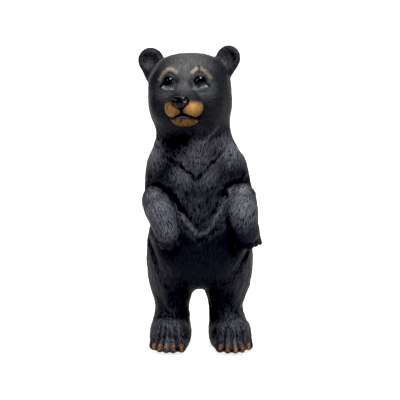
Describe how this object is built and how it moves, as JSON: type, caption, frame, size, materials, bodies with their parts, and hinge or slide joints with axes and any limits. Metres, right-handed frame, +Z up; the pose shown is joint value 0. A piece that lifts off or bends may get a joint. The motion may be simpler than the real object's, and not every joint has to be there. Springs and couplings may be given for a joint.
{
  "type": "resin bear statue",
  "caption": "Statue of a black bear standing upright on its hind legs with its forepaws held low in front of its belly, cast in resin.",
  "frame": {"origin": "on the ground, below the middle of the statue's box", "axes": "+Z up, the bear faces -Y, its own left paw is at +X"},
  "size_m": [0.161, 0.1697, 0.4],
  "materials": {
    "painted_resin": "cast resin painted charcoal black, dry-brushed grey on the raised fur, with a tan muzzle, brows and claws and glossy black eyes and nose"
  },
  "bodies": {
    "root": {"bear": "painted_resin"}
  },
  "joints": []
}
